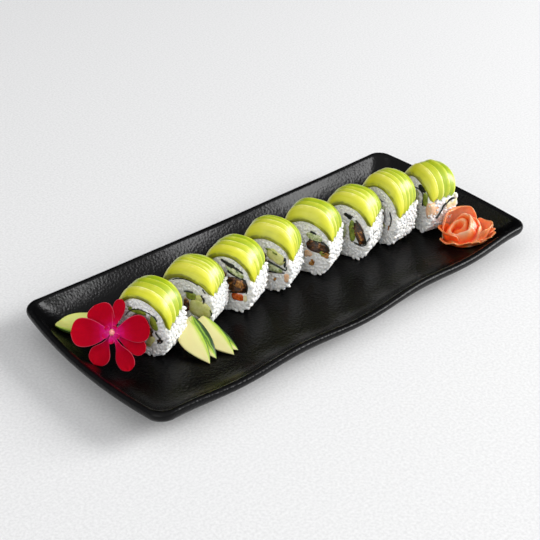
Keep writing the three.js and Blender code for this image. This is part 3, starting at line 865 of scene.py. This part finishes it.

# %% [markdown]
# ### Avocado over the rolls
# The top is half an avocado sliced across and fanned out, so each slice is a crescent
# about two millimetres thick: yellow by the stone, green by the skin. The slices overlap
# like shingles with the front one uppermost, and their tips run down both sides of the
# rice. Each is a tube of quads whose section is a flat rounded strip. Across each slice the
# colour also carries painted light: an olive front edge and a darker front part are painted
# shade under the slice above, and a pale line along the back edge is a painted highlight.

# %% Avocado finish
avocado_flesh, flesh_shader = surface("ripe_avocado_sliced", "#cdd24a", Roughness=0.5,
                                      Specular_IOR_Level=0.3, Coat_Weight=0.85, Coat_Roughness=0.3,
                                      Subsurface_Weight=0.15, Subsurface_Scale=0.0015)
flesh_shader.inputs["Subsurface Radius"].default_value = (1.0, 0.9, 0.3)
across_with_edge_shade = carried(avocado_flesh, "across")
along_slice = carried(avocado_flesh, "along")
ripeness = carried(avocado_flesh, "ripeness")
fibre = grain(avocado_flesh, 6.0, 3.0, Distortion=0.8)
on_slice = add_node(avocado_flesh, "CombineXYZ", None,
                    {"X": (across_with_edge_shade, "Fac"), "Y": (along_slice, "Fac"), "Z": (ripeness, "Fac")})
drawn_out = add_node(avocado_flesh, "VectorMath", {1: (6, 2.5, 9)}, {0: (on_slice, 0)},
                     operation="MULTIPLY")
streaks = add_node(avocado_flesh, "TexNoise", {"Scale": 1.0, "Detail": 4.0}, {"Vector": (drawn_out, 0)})
uneven = total(avocado_flesh, (swing(avocado_flesh, fibre, 0.3), 0), (swing(avocado_flesh, streaks, 0.7), 0))
across_with_painted_light = total(avocado_flesh, (across_with_edge_shade, "Fac"), (uneven, 0))
# Both ramps run from painted olive shade at the front edge, through the flesh's own tones, to a painted
# highlight line at the back edge.
by_the_skin = tones(avocado_flesh, across_with_painted_light, 0,
                    [(0.0, "#466600"), (1.0, "#d4de50"), (0.25, "#638400"), (0.5, "#88a600"),
                     (0.88, "#aebf08")])
by_the_stone = tones(avocado_flesh, across_with_painted_light, 0,
                     [(0.0, "#6b6c04"), (1.0, "#f6f2a4"), (0.13, "#7f8206"), (0.2, "#b2b60a"),
                      (0.5, "#d0d014"), (0.88, "#dfdc48")])
flesh_tone_with_painted_light = add_node(avocado_flesh, "Mix", None, {0: (ripeness, "Fac"), 6: (by_the_skin, "Color"),
                                                   7: (by_the_stone, "Color")}, data_type="RGBA")
colour_from(avocado_flesh, flesh_shader, flesh_tone_with_painted_light, 2)
bump(avocado_flesh, flesh_shader, fibre, "Fac", 0.15, 0.3)

# %% Crescent slices
SHINGLE_STEP = 0.9
SLICE_LONG = 40
FRONT_SHARE = 0.29
END_TAPER = 0.13
GATHERED = 0.8
GATHER_AT = -0.4
# the section of a slice: across from its lower to its upper neighbour, and from underside to top
SLICE_SECTION = [(0, 0.2), (0, 0.5), (0, 0.8), (0.015, 0.93), (0.05, 1), (0.15, 1), (0.3, 1), (0.45, 1),
                 (0.6, 1), (0.75, 1), (0.88, 1), (0.955, 1), (0.988, 0.94), (1, 0.8), (1, 0.5), (1, 0.2),
                 (0.9, 0), (0.6, 0), (0.3, 0), (0.1, 0), (0, 0.2)]


def crescent(roll, order):
    """One draped slice; order 0 is the front one, which lies on top."""
    cuts = roll["cuts"]
    half = roll["half"]
    seed = 10 * roll["number"] + order
    share = order / (cuts - 1)
    jitter = lumpy((seed, 0.5, 0.5), 1.7, seed)
    is_last = order == cuts - 1
    step = 2 * half * (1 - FRONT_SHARE) / (cuts - 1)
    back = -half + 2 * half * FRONT_SHARE + step * order + (0 if is_last else 0.6 * jitter)
    front = back - step - 3.0 if order else -half - 0.5
    near_end = avocado_end(roll, back) + 3 * jitter
    far_end = 180 - avocado_end(roll, back) - 4 * jitter

    def shape(u, v):
        cross, rise = SLICE_SECTION[round(v * (len(SLICE_SECTION) - 1))]
        to_end = min(min(u, 1 - u) / END_TAPER, 1)
        return cross, rise, math.sqrt(max(to_end * (2 - to_end), 0))

    def place(u, v):
        cross, rise, taper = shape(u, v)
        level = math.degrees(math.asin(math.sin(math.radians(blend(far_end, near_end, u)))))
        gather = blend(GATHERED, 1, step_smooth(5, 70, level))
        middle = blend(front, back, 0.25 if order == 0 else 0.6)
        x = middle + (blend(front, back, cross) - middle) * taper
        x = GATHER_AT * half + (x - GATHER_AT * half) * gather
        uneven = 0.03 * abs(cross - 0.3) * (far_end - near_end)
        degrees = blend(far_end - uneven, near_end + uneven, u)
        top = 0.2 + (SHINGLE_STEP * (1 - cross) if order else 0)
        under = AVOCADO_ROOM - 0.3 - (0 if is_last else 1.3 * step_smooth(0.3, 0.95, cross))
        on_rice = 1 - step_smooth(0.0, 0.9, taper)
        inset = blend(blend(under, top, rise), blend(1.4, 0.3, rise), on_rice)
        inset -= 0.3 * lumpy((x, u * 40, 0), 7.0, seed)
        across, up = on_outline(roll, degrees, inset, x)
        return Vector((x, across, up))

    def values(u, v):
        cross, rise, taper = shape(u, v)
        # The front cut edge gets the lowest values, painted olive shade; the back edge gets 1, a painted
        # highlight line.
        side = blend(0.2, blend(0.04, 0.13, rise), cross < 0.01)
        return {"across": side + 0.8 * cross, "along": u,
                "ripeness": max(1 - 1.15 * share ** 0.7 + 0.2 * jitter, 0.0)}

    return warped_grid(SLICE_LONG, len(SLICE_SECTION) - 1, place, values)


for roll in ROLLS:
    number = roll["number"]
    slices = [crescent(roll, order) for order in range(roll["cuts"])]
    finish_piece(joined(slices), f"avocado_top_{number}", avocado_flesh, roll["place"],
                 [f"roll_{number}_avocado"])
print("avocado crescents:", sum(roll["cuts"] for roll in ROLLS))

# %% [markdown]
# ## The avocado slices on the plate
# A slice cut from tip to tip shows pale flesh, greener towards the skin, and the skin
# itself as a dark glossy band where the knife left it on. One grid makes a slice: its
# corners run round a flat section while the section travels from tip to tip, between the
# curve of the stone side and the curve of the skin side. Four slices lean on the rolls
# as a fan, and a fifth lies by the wall at the plate's left end.

# %% Slice finish
slice_flesh, slice_shader = surface("avocado_slice_with_skin", "#d9ce90", Roughness=0.45, Coat_Weight=0.15,
                                    Coat_Roughness=0.25, Subsurface_Weight=0.12, Subsurface_Scale=0.0012)
grainy = grain(slice_flesh, 4.0, 3.0)
to_skin = carried(slice_flesh, "to_skin")
skin_place = total(slice_flesh, (to_skin, "Fac"), (swing(slice_flesh, grainy, 0.12), 0))
slice_tone = tones(slice_flesh, skin_place, 0,
                   [(0.0, "#ded694"), (1.0, "#1c3804"), (0.5, "#e2df98"), (0.66, "#d3da70"),
                    (0.8, "#a3c233"), (0.85, "#3c6a0a"), (0.91, "#92b53a"), (0.95, "#2c5606")])
colour_from(slice_flesh, slice_shader, slice_tone)
bump(slice_flesh, slice_shader, grainy, "Fac", 0.2, 0.3)

# %% Slices
FAN_TIP = (-89.6, -33.9, 6.9)
FAN_FACES = (225, 60)
FAN_LENGTH = 31.0
FAN_WIDTH = 14.0
FAN_BULGE = 7.0
FAN_THICK = 2.0
# right, up and turn of each slice, and the share of its width that the skin slopes over
FAN = [(0, 0, 23, 0.07), (3.2, 4.3, 26, 0.36), (13.0, 8.1, 34, 0.08), (15.0, 12.1, 46, 0.25)]
FAN_BEHIND = 2.3
END_AT = (-142.0, 46.0)
END_HEADING = -20
END_LIFT = 2.2
SLICE_STEPS = 28


def facing(azimuth, elevation):
    """A turn that brings +Z to look along a direction, with +Y up and +X to its right."""
    az, el = math.radians(azimuth), math.radians(elevation)
    normal = Vector((math.cos(az) * math.cos(el), math.sin(az) * math.cos(el), math.sin(el)))
    right = Vector((-math.sin(az), math.cos(az), 0))
    return Matrix((right, normal.cross(right), normal)).transposed().to_4x4()


def bezier(points, t):
    """A point on the curve that a row of handles makes."""
    while len(points) > 1:
        points = [(blend(a[0], b[0], t), blend(a[1], b[1], t)) for a, b in zip(points, points[1:])]
    return points[0]


def flat_slice(length, width, bulge, thick, slope, seed, blunt=0.36, green=0.0):
    """A slice in its own plane: tip at the origin, other tip up, skin side to +X. Its stone
    side leaves the tip bluntly, and green says how near the skin the flesh was cut."""
    skin_curve = [(0, 0), (0.6 * bulge, 0.3 * length), (0.4 * bulge, 0.8 * length), (-0.25 * width, length)]
    stone_curve = [(0, 0), (-blunt * width, 0.058 * length / blunt), (-0.95 * width, 0.42 * length),
                   (-1.3 * width, 0.74 * length), (-0.85 * width, 1.0 * length), (-0.25 * width, length)]
    section = [(0, 0.2), (0, 0.7), (0.02, 0.95), (0.08, 1), (0.3, 1), (0.55, 1), (0.8 - slope, 1),
               (0.94 - slope, 1), (1 - slope, 0.96), (1 - slope * 0.66, 0.8), (1 - slope * 0.3, 0.55),
               (1, 0.2), (0.98, 0.04), (0.85, 0), (0.5, 0), (0.1, 0), (0, 0.2)]

    def place(u, v):
        cross, rise = section[round(v * (len(section) - 1))]
        inner, outer = bezier(stone_curve, u), bezier(skin_curve, u)
        x, y = blend(inner[0], outer[0], cross), blend(inner[1], outer[1], cross)
        fine = thick * (0.35 + 0.65 * min(math.sin(math.pi * u) * 2.5, 1))
        hollow = 0.5 * lumpy((x, y, 0), 9.0, seed)
        return Vector((x, y, (rise - 0.5) * fine + hollow))

    def values(u, v):
        cross, rise = section[round(v * (len(section) - 1))]
        in_band = max(cross - (1 - slope), 0) / slope
        near_rim = step_smooth(0.55 - slope, 1 - slope, cross)
        top_side = max(green, 0.78 * near_rim) + 0.3 * min(in_band, 1)
        return {"to_skin": top_side if rise > 0.1 else 0.55 * cross}

    return warped_grid(SLICE_STEPS, len(section) - 1, place, values)


def plate_top(x, y):
    """How high the plate's upper side lies."""
    out_x, out_y = plate_bow(x, y)
    inset = min(HALF_LENGTH + out_x - abs(x), HALF_WIDTH + out_y - abs(y))
    height = float(np.interp(inset, [row[0] for row in reversed(TOP_SECTION)],
                             [row[1] for row in reversed(TOP_SECTION)]))
    share = max((height - WELL_TOP) / (RIM_HEIGHT - WELL_TOP), 0)
    return height - rim_drop(x, y) * share


for order, (right, up, turn, slope) in enumerate(FAN):
    place = (Matrix.Translation(FAN_TIP) @ facing(*FAN_FACES) @ Matrix.Translation((right, up, 0))
             @ Matrix.Rotation(math.radians(turn), 4, "Z")
             @ Matrix.Translation((0, 0, -FAN_BEHIND * order)))
    cut = flat_slice(FAN_LENGTH, FAN_WIDTH, FAN_BULGE, FAN_THICK, slope, order)
    finish_piece(cut, f"avocado_fan_{order + 1}", slice_flesh, place,
                 [f"avocado_slice_{order + 1}"], subdivide=1)

bm = flat_slice(length=33.0, width=13.0, bulge=12.0, thick=2.6, slope=0.08, seed=7, blunt=1.1, green=0.62)
bm.transform(Matrix.Translation((*END_AT, 0)) @ Matrix.Rotation(math.radians(END_HEADING - 90), 4, "Z"))
for vert in bm.verts:
    vert.co.z += plate_top(vert.co.x, vert.co.y) + END_LIFT
finish_piece(bm, "avocado_end_slice", slice_flesh, replaces=["avocado_slice_end"], subdivide=1)
print("avocado slices on the plate:", len(FAN) + 1)

# %% [markdown]
# ## The orchid
# A red orchid leans on the first roll. Its petals are thin, velvety and narrow at the
# base, where they turn magenta round the pale column, and each has a hair-thin pale margin.
# A petal is an open grid that is narrowed, cupped and rippled; a solidify modifier gives it
# its half millimetre.

# %% Petal finish
petal_red, petal_shader = surface("orchid_petal_velvet", "#b00420", Roughness=0.75, Specular_IOR_Level=0.05,
                                  Subsurface_Weight=0.1, Subsurface_Scale=0.001)
cells = grain(petal_red, 2.5, 3.0)
petal_place = total(petal_red, (carried(petal_red, "along"), "Fac"), (swing(petal_red, cells, 0.16), 0))
petal_tone = tones(petal_red, petal_place, 0, [(0.0, "#e23c97"), (1.0, "#b4001a"), (0.14, "#d8187c"),
                                               (0.28, "#c4043c"), (0.5, "#b40020")])
margin_share = tones(petal_red, carried(petal_red, "margin"), "Fac", [(0.95, "#000000"), (1.0, "#909090")])
edged = add_node(petal_red, "Mix", {7: linear("#e77f9a")},
                 {0: (margin_share, "Color"), 6: (petal_tone, "Color")}, data_type="RGBA")
colour_from(petal_red, petal_shader, edged, 2)
bump(petal_red, petal_shader, cells, "Fac", 0.3, 0.3)
column_cream = surface("orchid_column_waxy", "#f0a59a", Roughness=0.3, Coat_Weight=0.3,
                       Subsurface_Weight=0.3, Subsurface_Scale=0.001)[0]

# %% Petals and column
ORCHID_AT = (-128.5, 5.6, 25.6)
ORCHID_FACES = (-139, 29)
# direction in degrees, length, width and the narrowness of the base, in the flower's plane
LOBES = [(77, 20.5, 7.5, 0.35), (125, 18.5, 16, 0.8), (183, 23.5, 17, 0.8), (245, 20.8, 12.8, 0.2),
         (301, 23.8, 10.8, 0.2), (336, 22, 10, 0.45), (14, 22.8, 16, 0.6)]
# how far each petal is lifted, so that they overlap
LIFTS = [0.4, 0.0, 1.2, 0.2, 0.9, -0.6, 1.0]
# the small lobes of the lip, which stand round the column
LIP = [(60, 5.2, 3.2, 0.8), (135, 5, 3.2, 0.8), (205, 5.4, 3.4, 0.8), (275, 6, 3.4, 0.8),
       (340, 5.4, 3, 0.8)]
LIP_LIFT = 1.6
PETAL_THICK = 0.5
PETAL_LONG = 22
PETAL_ACROSS = 12
WIDEST = 0.68


def petal(number, direction, length, width, waist, lift_up, tone):
    """One petal that leaves the middle of the flower in a direction."""
    lay = Matrix.Rotation(math.radians(direction), 3, "Z")

    def place(u, v):
        side = 2 * v - 1
        past = max(u - WIDEST, 0) / (1 - WIDEST)
        narrow = blend(0.14, 1, math.sin(math.pi / 2 * min(u / WIDEST, 1)) ** (0.75 / waist))
        half_width = 0.5 * width * narrow * max(1 - past ** 2.4, 0) ** 0.5
        ripple = 0.5 * math.sin(7 * u + number) * side ** 2 * math.copysign(1, side)
        cup = 1.5 * u * u - 1.6 * (1 - side * side) * math.sin(math.pi * u) * width / 15
        lift = lift_up + 0.5 * lumpy((u * length, side * width, number), 6.0, number)
        return lay @ Vector((1.2 + u * (length - 1.2), side * half_width, cup + lift + ripple))

    def values(u, v):
        return {"along": tone * u, "margin": max(abs(2 * v - 1), step_smooth(0.9, 1.02, u))}

    return warped_grid(PETAL_LONG, PETAL_ACROSS, place, values)


flower_place = Matrix.Translation(ORCHID_AT) @ facing(*ORCHID_FACES)
petals = joined([petal(number, *lobe, LIFTS[number], 1.0) for number, lobe in enumerate(LOBES)]
                + [petal(number, *lobe, LIP_LIFT, 0.3) for number, lobe in enumerate(LIP)])
finish_piece(petals, "orchid_petals", petal_red, flower_place, ["orchid"],
             thick=PETAL_THICK, subdivide=1)

bm = bmesh.new()
bmesh.ops.create_uvsphere(bm, u_segments=20, v_segments=12, radius=1.9)
bmesh.ops.scale(bm, verts=bm.verts, vec=(0.8, 1.1, 1.3))
bmesh.ops.translate(bm, verts=bm.verts, vec=(0.3, 0.6, 1.6))
finish_piece(bm, "orchid_column", column_cream, flower_place)
print("orchid petals:", len(LOBES), "lip lobes:", len(LIP))

# %% [markdown]
# ## The pickled ginger
# Gari is young ginger shaved paper-thin and pickled: it is wet, translucent, pale where
# one sheet stands alone and deep orange where light goes through several. The cook pinches
# a pile of it to a rosette. Its middle is a mound whose folds wind round an eye: one round
# grid, raised by a formula, pale on its fold crests and deep orange down in the grooves and
# the eye, which is painted shade over the deeper tone of the stacked folds. Each sheet round
# it is an open grid wound part way round a cup that flares and ruffles towards its rim. A
# solidify modifier gives them their thickness.

# %% Ginger finish
ginger_wet, ginger_shader = surface("ginger_shaved_and_pickled", "#f2935e", Roughness=0.38, Coat_Weight=0.3,
                                    Coat_Roughness=0.2, Subsurface_Weight=0.5, Subsurface_Scale=0.002,
                                    Transmission_Weight=0.05)
ginger_shader.inputs["Subsurface Radius"].default_value = (1.0, 0.35, 0.15)
threads = grain(ginger_wet, 3.0, 4.0)
paleness_and_fold_shade = total(ginger_wet, (carried(ginger_wet, "rim"), "Fac"), (swing(ginger_wet, threads, 0.34), 0))
ginger_tone = tones(ginger_wet, paleness_and_fold_shade, 0, [(0.0, "#f0400c"), (1.0, "#ffdcd0"), (0.28, "#ff742c"),
                                               (0.55, "#ff9c62"), (0.85, "#ffc09c")])
colour_from(ginger_wet, ginger_shader, ginger_tone)
bump(ginger_wet, ginger_shader, threads, "Fac", 0.4, 0.35)

# %% Ginger sheets
GINGER_AT = (128.0, -39.5)
ROSETTE_SHIFT = (-3.5, -4.0)
GINGER_LIFT = 7.6
GINGER_RIGHT = -52
GINGER_THICK = 0.7
SHEET_LONG = 40
SHEET_HIGH = 12
# right and away of each sheet's middle, its first direction and sweep in degrees (0 is right,
# 90 away), foot and rim radius, how high it stands over the plate, how far its rim curls
# over, its ruffles and how pale it is
SHEETS = [(-2.5, 2.0, 40, 165, 11.5, 8.0, 19.0, 0.7, 1, 0.75),
          (4.0, 0.5, -60, 140, 9.0, 11.4, 11.5, 1.0, 2, 0.6),
          (4.5, -0.5, -70, 110, 9.0, 13.4, 6.0, 1.1, 3, 0.5),
          (-4.0, -1.0, 125, 150, 8.0, 12.0, 8.5, 1.1, 2, 0.15),
          (-4.5, -3.0, 195, 80, 7.5, 12.6, 3.6, 1.3, 2, 0.2),
          (-1.0, -2.5, 235, 60, 8.0, 13.0, 4.0, 1.3, 2, 0.25),
          (3.0, -2.0, -100, 80, 8.0, 12.8, 4.4, 1.2, 3, 0.4),
          (6.0, 2.0, -30, 90, 6.0, 12.0, 7.0, 1.1, 3, 0.5)]
# the mound they wrap: its middle and half sizes, and the eye its folds wind round
MOUND = ((-0.5, 0.0), (13.0, 10.5, 16.0))
MOUND_TILT = 0.22
EYE = (-4.5, -1.5)
EYE_WIDE = 5.5
EYE_DEPTH = 8.0
FOLD_PITCH = 6.4
FOLD_RISE = 4.4
MOUND_STEPS = (44, 96)


def ginger_sheet(number, right, away, first, sweep, foot, rim, high, curl, ruffles, pale):
    """One curled sheet that leans out of the rosette, rounded over at its rim."""
    def place(u, v):
        turn = math.radians(first + sweep * u)
        fade = math.sin(math.pi * min(max(u, 0.0), 1.0)) ** 0.5
        reach = v * blend(0.3, 1, fade)
        ruffle = math.sin(ruffles * 2 * math.pi * u + number) * reach * reach
        belly = 0.12 * rim * math.sin(math.pi * reach)
        radius = (blend(foot, rim, reach ** 1.3) + belly) * (1 + 0.08 * ruffle)
        rise = high * math.sin(reach * math.pi * blend(0.5, 0.64, curl)) + 1.1 * ruffle
        x = right + radius * math.cos(turn) * 1.08
        y = away + radius * math.sin(turn) * 0.84
        lump = lumpy((x, y, rise), 7.0, number)
        return Vector((x + 0.8 * lump, y + 0.8 * lump, max(rise, 0) + 0.5))

    def values(u, v):
        border = step_smooth(0.88, 1, max(v, 1 - min(u, 1 - u) * 8))
        return {"rim": blend(pale, 0.5, v ** 2) + 0.12 * border}

    return warped_grid(SHEET_LONG, SHEET_HIGH, place, values)


def fold(x, y):
    """How high a fold stands at a place of the mound: steep towards the eye, gentle outwards."""
    off = Vector((x - EYE[0], (y - EYE[1]) / 0.8))
    wound = math.atan2(off.y, off.x) / (2 * math.pi)
    share = ((off.length + 3.4 * lumpy((x, y, 0), 7.0, 2)) / FOLD_PITCH - wound) % 1.0
    return step_smooth(0, 0.28, share) * (1 - max(share - 0.28, 0) / 0.72) ** 0.8


def ginger_mound():
    """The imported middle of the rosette: one surface whose folds wind round an eye."""
    (middle_x, middle_y), (half_x, half_y, high) = MOUND

    def at(u, v):
        turn = 2 * math.pi * v
        return middle_x + u * half_x * math.cos(turn), middle_y + u * half_y * math.sin(turn)

    def place(u, v):
        x, y = at(u, v)
        to_eye = math.hypot(x - EYE[0], (y - EYE[1]) / 0.8)
        dome = high * (1 - u ** 2.4) ** 0.6 * (1 + MOUND_TILT * (y - middle_y) / half_y)
        dip = EYE_DEPTH * math.exp(-(to_eye / EYE_WIDE) ** 2)
        rise = dome - dip + FOLD_RISE * (fold(x, y) - 0.6) * (1 - u ** 4) + 1.2 * lumpy((x, y, 3), 4.0, 6)
        return Vector((x, y, max(rise, 0.0) + 0.4))

    def values(u, v):
        x, y = at(u, v)
        to_eye = math.hypot(x - EYE[0], (y - EYE[1]) / 0.8)
        # pale on the fold crests, deep orange in the grooves and near the eye: painted shade over the
        # stacked folds' deeper tone
        return {"rim": 0.85 * fold(x, y) ** 1.4 * min(0.3 + to_eye / 9, 1)}

    return warped_grid(*MOUND_STEPS, place, values)


bm = joined([ginger_mound()] + [ginger_sheet(number, *sheet) for number, sheet in enumerate(SHEETS)])
bm.transform(Matrix.Translation((*GINGER_AT, 0)) @ Matrix.Rotation(math.radians(GINGER_RIGHT), 4, "Z")
             @ Matrix.Translation((*ROSETTE_SHIFT, 0)))
for vert in bm.verts:
    vert.co.z += min(plate_top(vert.co.x, vert.co.y), GINGER_LIFT)
finish_piece(bm, "ginger_rosette", ginger_wet, replaces=["ginger"], thick=GINGER_THICK,
             subdivide=1)
print("ginger sheets:", len(SHEETS))
